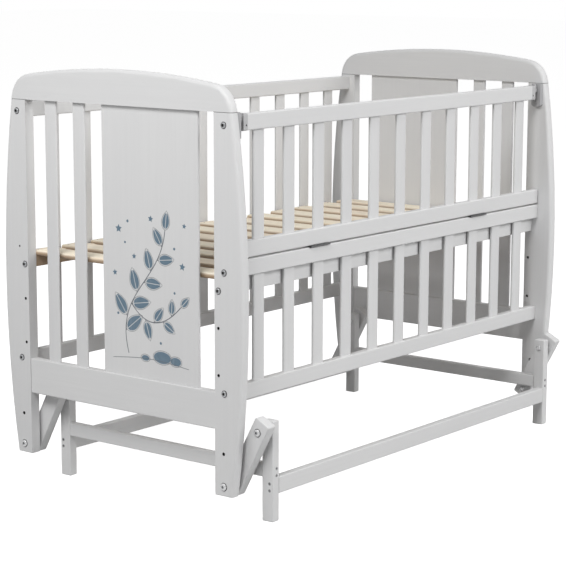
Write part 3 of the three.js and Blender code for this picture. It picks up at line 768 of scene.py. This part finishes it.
def pivot_bolt(node, body, head_timber):
    """Domed bolt with its washers, spacer and lock nut, in the place of a plain one."""
    low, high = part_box(node)
    side = -1 if low.x < 0 else 1
    seat_x = towards(side, low.x, high.x) - side * PIVOT_BOLT.height
    length = high.x - low.x - PIVOT_BOLT.height
    shank = circle(SHANK_RADIUS)
    bm = bmesh.new()
    turned(bm, head_rings(PIVOT_BOLT))
    turned(bm, [Ring(shank, SHANK_IN_NUT - length), Ring(shank, 0.0)])
    top = -(head_timber + TIMBER_CLEARANCE)
    for radius, height in (WASHER, SPACER, WASHER):
        washer(bm, radius, height, top)
        top -= height
    turned(bm, LOCK_NUT, Vector((0, 0, -length)))
    place = facing((seat_x, (low.y + high.y) / 2, (low.z + high.z) / 2), (side, 0, 0))
    piece = piece_from(bm, f"{node}_detailed", PIVOT_MATERIALS, place)
    smooth(piece)
    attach(piece, body)
    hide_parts(node)
    # Painted shadow ring round the pivot bolt's head
    shadow_ring(f"{node}_rim", body, place.translation, (side, 0, 0), PIVOT_BOLT.radius)


def pivot_bolts():
    for corner, _, _ in CORNERS:
        pivot_bolt(f"upper_pivot_bolt_{corner}", "stand", LINK_THICKNESS)
        pivot_bolt(f"lower_pivot_bolt_{corner}", "cot", LEG_THICKNESS)


# Drilled holes, lined with painted shade for their dark insides; the links' lock bores are capped

BASE_LEVEL_STEP = 78 * MM
BASE_BOTTOM_STEP = 99.5 * MM
LEVEL_HOLE_RADIUS = 3.35 * MM
SPARE_HOLE_RADIUS = 2.2 * MM
LOCK_HOLE_RADIUS = 3.75 * MM
LOCK_HEIGHT = 91 * MM
LINING_WALL = 0.25 * MM
LINING_LENGTH = LEG_THICKNESS - 0.6 * MM
LOCK_CAP_RADIUS = 3.95 * MM
LOCK_CAP_SUNK = 0.05 * MM


def hole_shade_lining(name, body, place, radius):
    """Thin tube of painted shade inside a hole along X."""
    bm = bmesh.new()
    outer = circle(radius)
    inner = circle(radius - LINING_WALL)
    end = LINING_LENGTH / 2
    rings = (Ring(outer, -end), Ring(inner, -end), Ring(inner, end), Ring(outer, end))
    band(bm, [ring_corners(bm, ring) for ring in rings])
    piece = piece_from(bm, name, (PAINTED_SHADE,), facing(place, (1, 0, 0)))
    smooth(piece)
    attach(piece, body)


def leg_holes(way):
    """Name, distance from the middle of the cot, height and radius of each open hole of a leg."""
    middle_level_z = BASE_BOLT_Z - BASE_LEVEL_STEP
    holes = [
        ("middle_level", BASE_BOLT_Y, middle_level_z, LEVEL_HOLE_RADIUS),
        ("low_level", BASE_BOLT_Y, middle_level_z - BASE_BOTTOM_STEP, LEVEL_HOLE_RADIUS),
        ("lock", PIVOT_Y, FOOT_Z + LOCK_HEIGHT, LOCK_HOLE_RADIUS),
    ]
    if way > 0:
        holes.append(("spare", SIDE_BOLT_Y, MIDDLE_BOLT_Z, SPARE_HOLE_RADIUS))
    return holes


def hole_shade_linings():
    for corner, side, way in CORNERS:
        for name, y, z, radius in leg_holes(way):
            place = (side * LEG_MIDDLE_X, COT_Y + way * y, z)
            hole_shade_lining(f"{name}_hole_{corner}", "cot", place, radius)


def lock_caps():
    """Painted caps in the links' lock bores, which lie as far above the lower pivot as the legs'."""
    rise = FOOT_Z + LOCK_HEIGHT - LOWER_PIVOT.z
    lock = LOWER_PIVOT + rise * (UPPER_PIVOT - LOWER_PIVOT).normalized()
    outline = circle(LOCK_CAP_RADIUS)
    end = LINK_THICKNESS / 2 - LOCK_CAP_SUNK
    for corner, _, way in CORNERS:
        body = f"link_{corner}"
        y = towards(way, lock.y, lock.y + 2 * PIVOT_Y)
        bm = bmesh.new()
        turned(bm, [Ring(outline, -end), Ring(outline, end)])
        place = facing((middle(f"swing_link_{corner}").x, y, lock.z), (1, 0, 0))
        cap = piece_from(bm, f"lock_cap_link_{corner}", (PAINT["Z"],), place)
        smooth(cap)
        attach(cap, body)


# Front rail of the base: a lip along its outer edge hides the ends of the slats

LIP_THICKNESS = 5.2 * MM
LIP_HEADROOM = 0.6 * MM
BASE_RAIL_ROUND = 1.2 * MM
BASE_RAIL_ROUND_STEPS = 3


def base_front_rail():
    low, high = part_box("base_front_rail")
    lip_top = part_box("front_middle_rail")[0].z - LIP_HEADROOM
    lip_back = low.y + LIP_THICKNESS
    profile = (
        (low.y, low.z), (high.y, low.z), (high.y, high.z),
        (lip_back, high.z), (lip_back, lip_top), (low.y, lip_top),
    )
    corners = [(low.x, y, z) for y, z in profile]
    piece = prism(corners, (high.x - low.x, 0, 0), "base_front_rail_detailed", (PAINT["X"],))
    round_edges(piece, BASE_RAIL_ROUND, BASE_RAIL_ROUND_STEPS)
    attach(piece, "cot")
    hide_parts("base_front_rail")


# Painted shadow lines in the joints where the arched rails stand on the legs

SEAM_GAP = 0.3 * MM
SEAM_HALF_HEIGHT = 0.45 * MM
SEAM_NEAR = 0.04 * MM
SEAM_PROUD = 0.16 * MM
SECTION_NEAR = 0.1 * MM


def section_outline(node, height):
    """Outline of a node's end face at a height, anticlockwise."""
    piece = NODES[node]
    corners = []
    for vertex in piece.data.vertices:
        place = piece.matrix_world @ vertex.co
        if abs(place.z - height) < SECTION_NEAR:
            corners.append(place.xy)
    return [corners[i] for i in convex_hull_2d(corners)]


def grown(outline, growth):
    """A convex outline moved outwards."""
    centre = sum(outline, Vector((0, 0))) / len(outline)
    result = []
    for i, corner in enumerate(outline):
        along = (outline[(i + 1) % len(outline)] - outline[i - 1]).normalized()
        out = Vector((along.y, -along.x))
        if out.dot(corner - centre) < 0:
            out = -out
        result.append(corner + out * growth)
    return result


def arch_joint_shadows():
    for corner, _, _ in CORNERS:
        node = f"leg_{corner}"
        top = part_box(node)[1].z
        outline = section_outline(node, top)
        bm = bmesh.new()
        loops = []
        for growth, rise in ((SEAM_PROUD, -1), (SEAM_PROUD, 1), (SEAM_NEAR, 1), (SEAM_NEAR, -1)):
            z = top + SEAM_GAP / 2 + rise * SEAM_HALF_HEIGHT
            loops.append([bm.verts.new((x, y, z)) for x, y in grown(outline, growth)])
        band(bm, loops)
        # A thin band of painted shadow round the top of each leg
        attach(piece_from(bm, f"arch_joint_shadow_{corner}", (PAINTED_SHADE,)), "cot")


# Latches: the housings step back beside the keepers, and the keepers end in small slanted corners

HOUSING_FRONT_END = 573.5 * MM  # of a housing's thick part, from the middle of the cot
HOUSING_STEP = 4.2 * MM
HOUSING_LEDGE_DROP = 17.3 * MM
HOUSING_PLATE = 6 * MM
HOUSING_CORNER = 6 * MM
KEEPER_CORNER = 5 * MM
POCKET_FROM_FRONT = 14.0 * MM
POCKET_DROP = 15.5 * MM
POCKET_HALF = 4.5 * MM
POCKET_DEPTH = 6.5 * MM
LATCH_ROUND = 0.7 * MM
LATCH_ROUND_STEPS = 2
CUT_BEYOND = 1 * MM  # how far a cutter stands out of what it cuts


def carved(name, form, cutters, material):
    """A piece made of a form less some cutters, which are all used up."""
    for number, cutter in enumerate(cutters):
        cut = form.modifiers.new(f"cut_{number}", "BOOLEAN")
        cut.operation = "DIFFERENCE"
        cut.solver = "EXACT"
        cut.object = cutter
    result = form.evaluated_get(bpy.context.evaluated_depsgraph_get())
    mesh = bpy.data.meshes.new_from_object(result)
    mesh.transform(form.matrix_world)
    for helper in [form] + cutters:
        bpy.data.objects.remove(helper)
    mesh.materials.clear()
    mesh.materials.append(material)
    piece = add_object(name, mesh)
    round_edges(piece, LATCH_ROUND, LATCH_ROUND_STEPS)
    return piece


def latch_housing(hand, side):
    node = f"latch_housing_{hand}"
    low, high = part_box(node)
    form = add_object("form", NODES[node].data.copy())
    form.matrix_world = NODES[node].matrix_world
    add_weld(form)
    inner = side * HOUSING_FRONT_END
    outer = towards(side, low.x, high.x) + side * CUT_BEYOND
    front = low.y - CUT_BEYOND
    bottom = low.z - CUT_BEYOND
    above = high.z + CUT_BEYOND
    ledge = high.z - HOUSING_LEDGE_DROP
    cutters = []
    for top, depth in ((above, HOUSING_STEP), (ledge, high.y - low.y - HOUSING_PLATE)):
        corners = [(inner, front, bottom), (outer, front, bottom), (outer, front, top), (inner, front, top)]
        cutters.append(prism(corners, (0, CUT_BEYOND + depth, 0)))
    beside = inner + side * CUT_BEYOND
    corners = [
        (inner - side * HOUSING_CORNER, front, above),
        (beside, front, above),
        (beside, front, above - CUT_BEYOND - HOUSING_CORNER),
    ]
    cutters.append(prism(corners, (0, high.y - low.y + 2 * CUT_BEYOND, 0)))
    piece = carved(f"{node}_detailed", form, cutters, PLASTIC)
    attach(piece, "gate")
    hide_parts(node)


def latch_keeper(hand, side):
    node = f"latch_keeper_{hand}"
    low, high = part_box(node)
    inner_x = towards(-side, low.x, high.x)
    outer_x = towards(side, low.x, high.x)
    profile = (
        (low.y, high.z), (high.y, high.z),
        (high.y, low.z + KEEPER_CORNER), (high.y - KEEPER_CORNER, low.z),
        (low.y + KEEPER_CORNER, low.z), (low.y, low.z + KEEPER_CORNER),
    )
    form = prism([(outer_x, y, z) for y, z in profile], (inner_x - outer_x, 0, 0))
    mouth_x = inner_x - side * CUT_BEYOND
    y = low.y + POCKET_FROM_FRONT
    z = high.z - POCKET_DROP
    mouth = []
    for back, up in ((-1, -1), (1, -1), (1, 1), (-1, 1)):
        mouth.append((mouth_x, y + back * POCKET_HALF, z + up * POCKET_HALF))
    pocket = prism(mouth, (side * (POCKET_DEPTH + CUT_BEYOND), 0, 0))
    piece = carved(f"{node}_detailed", form, [pocket], SHADED_KEEPER_PLASTIC)
    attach(piece, "cot")
    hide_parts(node)


def latches():
    for hand, side in HANDS:
        latch_housing(hand, side)
        latch_keeper(hand, side)


# Nails that hold the slats on the two base rails

BASE_SLATS = 13
BASE_SLAT_WIDTH = 57 * MM
NAIL_SIDES = 12
NAIL_HEAD = (
    Ring(circle(2.1 * MM, NAIL_SIDES), 0.0),
    Ring(circle(2.1 * MM, NAIL_SIDES), 0.15 * MM),
    Ring(circle(1.5 * MM, NAIL_SIDES), 0.35 * MM),
)
NAIL_OFF_MIDDLE = 16 * MM
NAIL_LINE_SHARE = 0.985
NAIL_LINE_Y = NAIL_LINE_SHARE * BASE_BOLT_Y


def base_nails():
    low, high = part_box("base_back_rail_with_slats")
    first = low.x + BASE_SLAT_WIDTH / 2
    pitch = (high.x - low.x - BASE_SLAT_WIDTH) / (BASE_SLATS - 1)
    bm = bmesh.new()
    for slat in range(BASE_SLATS):
        for way in (-1, 1):
            for side in (-1, 1):
                x = first + slat * pitch + side * NAIL_OFF_MIDDLE
                turned(bm, NAIL_HEAD, Vector((x, COT_Y + way * NAIL_LINE_Y, high.z)))
    piece = piece_from(bm, "base_slat_nails", (STEEL,))
    smooth(piece)
    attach(piece, "cot")


# Print on the left end's wide panel: a leafy sprig with berries, pebbles and small stars

PRINT_MIDDLE_Z = 478 * MM
LEAVES_PROUD = 0.15 * MM
LINES_PROUD = 0.195 * MM

# From here on sizes are in millimetres, and places to the right and up from the print's middle
STEM = ((-62, -150), (-104, -20), (30, 10), (44, 122))
STEM_WIDTH = 1.8
STEM_STEPS = 24
STEM_LEAVES = {"leaves": 9, "first": 0.14, "length": 54, "width": 27}
BRANCH_SHARE = 0.36
BRANCH_END = ((-10, -92), (38, -84), (86, -36))
BRANCH_LEAVES = {"leaves": 5, "first": 0.3, "length": 40, "width": 20}

LEAF_STEPS = 10
LEAF_BELLY = 0.8
LEAF_FULLNESS = 0.85
LEAF_TILT = math.radians(52)
LEAF_SHRINK = 0.3
MIDRIB_HALF = 0.7
MIDRIB_SHARES = (0.92, 0.04)
STALK_LENGTH = 5
STALK_WIDTH = 1.4
LINE_OFF_INK = 2.2
LINE_WIDTH = 0.9

# Place and radius, or both radii
STARS = ((-88, 118, 9.5), (-44, 62, 6.5), (92, 52, 8.5), (98, 138, 6.0), (-100, 22, 7.0), (4, 146, 7.5))
DOTS = ((-62, 136, 3.2), (-70, 90, 2.6), (70, 88, 3.0), (-92, -66, 3.0), (70, -6, 2.8), (30, -118, 3.0))
PEBBLES = ((34, -149, 24, 13), (72, -153, 15, 9), (-14, -155, 11, 6))
STAR_POINTS = 5
STAR_INNER_SHARE = 0.5
STAR_TURN = 0.2
DOT_STEPS = 18
PEBBLE_STEPS = 24

GROUND_X = range(-108, 113, 6)
GROUND_Y = -163
GROUND_RISE = 7
GROUND_WAVE = 60
GROUND_WIDTH = 1.1


def bezier(points, share):
    """Point and direction at a share of the way along a cubic curve."""
    a, b, c, d = (Vector(point) for point in points)
    rest = 1 - share
    point = rest ** 3 * a + 3 * rest ** 2 * share * b + 3 * rest * share ** 2 * c + share ** 3 * d
    direction = 3 * rest ** 2 * (b - a) + 6 * rest * share * (c - b) + 3 * share ** 2 * (d - c)
    return point, direction.normalized()


def around(centre, angle, radius_x, radius_y):
    return centre + Vector((radius_x * math.cos(angle), radius_y * math.sin(angle)))


def square_to(way):
    return Vector((-way.y, way.x))


def leaf_edge(base, way, length, width, grow):
    """Both edges of a leaf, from its base to its tip."""
    across = square_to(way)
    sides = ([], [])
    for step in range(LEAF_STEPS + 1):
        share = step / LEAF_STEPS
        half = 0.0
        if 0 < share < 1:
            half = (width / 2 + grow) * math.sin(math.pi * share ** LEAF_BELLY) ** LEAF_FULLNESS
        spine = base + way * (-grow + (length + 2 * grow) * share)
        sides[0].append(spine + across * half)
        sides[1].append(spine - across * half)
    return sides


def ribbon(points, width, closed=False):
    """Four-cornered faces along a line of points."""
    count = len(points)
    left = []
    right = []
    for i, point in enumerate(points):
        before = points[i - 1] if i or closed else point
        after = points[(i + 1) % count] if i < count - 1 or closed else point
        across = square_to((after - before).normalized()) * width / 2
        left.append(point + across)
        right.append(point - across)
    last = count if closed else count - 1
    return [[right[i], right[(i + 1) % count], left[(i + 1) % count], left[i]] for i in range(last)]


def leaf(base, way, length, width):
    """Two inked halves beside a bare midrib, and the thin line round them."""
    upper, lower = leaf_edge(base, way, length, width, 0.0)
    across = square_to(way) * MIDRIB_HALF
    inked = []
    for edge, sign in ((upper, 1), (lower, -1)):
        inner = [base + way * length * share + across * sign for share in MIDRIB_SHARES]
        inked.append(edge[1:-1] + inner)
    upper, lower = leaf_edge(base, way, length, width, LINE_OFF_INK)
    lined = ribbon(upper + lower[-2:0:-1], LINE_WIDTH, closed=True)
    return inked, lined


def disc(centre, radius_x, radius_y, steps):
    return [around(centre, math.tau * step / steps, radius_x, radius_y) for step in range(steps)]


def star(centre, radius, turn):
    points = []
    for step in range(2 * STAR_POINTS):
        reach = radius if step % 2 == 0 else radius * STAR_INNER_SHARE
        points.append(around(centre, turn + math.pi / STAR_POINTS * step, reach, reach))
    return points


def sprig(points, leaves, first, length, width):
    """A curved stem with leaves on both sides in turn, and one at its tip."""
    inked = []
    line = [bezier(points, step / STEM_STEPS)[0] for step in range(STEM_STEPS + 1)]
    lined = ribbon(line, STEM_WIDTH)
    for number in range(leaves):
        along = number / (leaves - 1)
        size = 1 - LEAF_SHRINK * along
        base, way = bezier(points, first + (1 - first) * along)
        tilt = LEAF_TILT * (1 if number % 2 else -1) if number < leaves - 1 else 0.0
        leaf_way = Matrix.Rotation(tilt, 2) @ way
        start = base + leaf_way * STALK_LENGTH
        halves, edge = leaf(start, leaf_way, length * size, width * size)
        inked += halves
        lined += edge + ribbon([base, start], STALK_WIDTH)
    return inked, lined


def print_mesh(name, polygons, material, proud):
    """Flat shapes of one ink, a little proud of the panel's outer face."""
    centre = middle("left_end_wide_panel")
    face_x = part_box("left_end_wide_panel")[0].x - proud
    bm = bmesh.new()
    for polygon in polygons:
        corners = []
        for point in polygon:
            corners.append(bm.verts.new((face_x, centre.y - point.x * MM, PRINT_MIDDLE_Z + point.y * MM)))
        face = bm.faces.new(corners)
        face.normal_update()
        if face.normal.x > 0:
            face.normal_flip()
    piece = piece_from(bm, name, (material,))
    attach(piece, "cot")


def make_print():
    inked, lined = sprig(STEM, **STEM_LEAVES)
    branch = (bezier(STEM, BRANCH_SHARE)[0],) + BRANCH_END
    more_inked, more_lined = sprig(branch, **BRANCH_LEAVES)
    inked += more_inked
    lined += more_lined
    for x, y, radius in STARS:
        inked.append(star(Vector((x, y)), radius, math.pi / 2 + STAR_TURN * math.sin(x)))
    for x, y, radius in DOTS:
        inked.append(disc(Vector((x, y)), radius, radius, DOT_STEPS))
    for x, y, radius_x, radius_y in PEBBLES:
        inked.append(disc(Vector((x, y)), radius_x, radius_y, PEBBLE_STEPS))
        edge = disc(Vector((x, y)), radius_x + LINE_OFF_INK, radius_y + LINE_OFF_INK, PEBBLE_STEPS)
        lined += ribbon(edge, LINE_WIDTH, closed=True)
    ground = [Vector((x, GROUND_Y + GROUND_RISE * math.cos(x / GROUND_WAVE))) for x in GROUND_X]
    lined += ribbon(ground, GROUND_WIDTH)
    print_mesh("print_leaves", inked, INK, LEAVES_PROUD)
    print_mesh("print_lines", lined, LINE_INK, LINES_PROUD)


# Stage

WORLD_LIGHT = 0.16
FLOOR_SIZE = 60.0
FLOOR_GLOW = 0.86
FLOOR_SEEN = 0.80
FLOOR_UNSEEN = 0.45

# Name, place, the point that it is aimed at, size and power of each lamp
LAMPS = (
    ("high_left_light", (-3.4, -1.2, 3.6), (0.0, 0.0, 0.6), 1.4, 104.0),
    ("near_left_light", (-2.2, 0.3, 1.75), (-0.6, 0.0, 0.9), 0.8, 12.2),
    ("front_light", (0.4, -3.6, 2.8), (0.0, -0.3, 0.7), 1.6, 57.5),
    ("right_light", (2.6, -5.2, 3.2), (0.0, -0.3, 0.6), 2.6, 113.0),
)


def make_stage():
    """Floor that shows white with a soft shadow, and throws back less light than it shows."""
    bpy.ops.mesh.primitive_plane_add(size=FLOOR_SIZE)
    floor = bpy.context.object
    floor.name = "studio_floor"
    look = Look(bpy.data.materials.new("studio_floor"))
    seen = look.seen()
    material = look.shade({
        "Base Color": look.mix(seen, grey(FLOOR_UNSEEN), grey(FLOOR_SEEN)),
        "Emission Color": grey(1.0),
        "Emission Strength": look.ramp(seen, (0.0, 1.0), (0.0, FLOOR_GLOW)),
        "Roughness": 0.9,
        "Specular IOR Level": 0.0,
    })
    floor.data.materials.append(material)


def make_world():
    """White background, and a dimmer white light from all around."""
    look = Look(bpy.data.worlds.new("studio"))
    strength = look.ramp(look.seen(), (0.0, 1.0), (WORLD_LIGHT, 1.0))
    world = look.shade({"Color": grey(1.0), "Strength": strength}, "Background")
    bpy.context.scene.world = world


def make_lights():
    for name, place, aim, size, power in LAMPS:
        data = bpy.data.lights.new(name, "AREA")
        data.shape = "SQUARE"
        data.size = size
        data.energy = power
        lamp = add_object(name, data)
        turn = (Vector(aim) - Vector(place)).to_track_quat("-Z", "Y")
        lamp.matrix_world = Matrix.Translation(place) @ turn.to_matrix().to_4x4()


make_camera()
make_stage()
make_world()
make_lights()
dress_nodes()
leg_bolts()
post_screws()
hinge_screws()
latch_screws()
pivot_bolts()
hole_shade_linings()
lock_caps()
base_front_rail()
arch_joint_shadows()
latches()
base_nails()
make_print()
bpy.context.scene.view_settings.view_transform = "Standard"
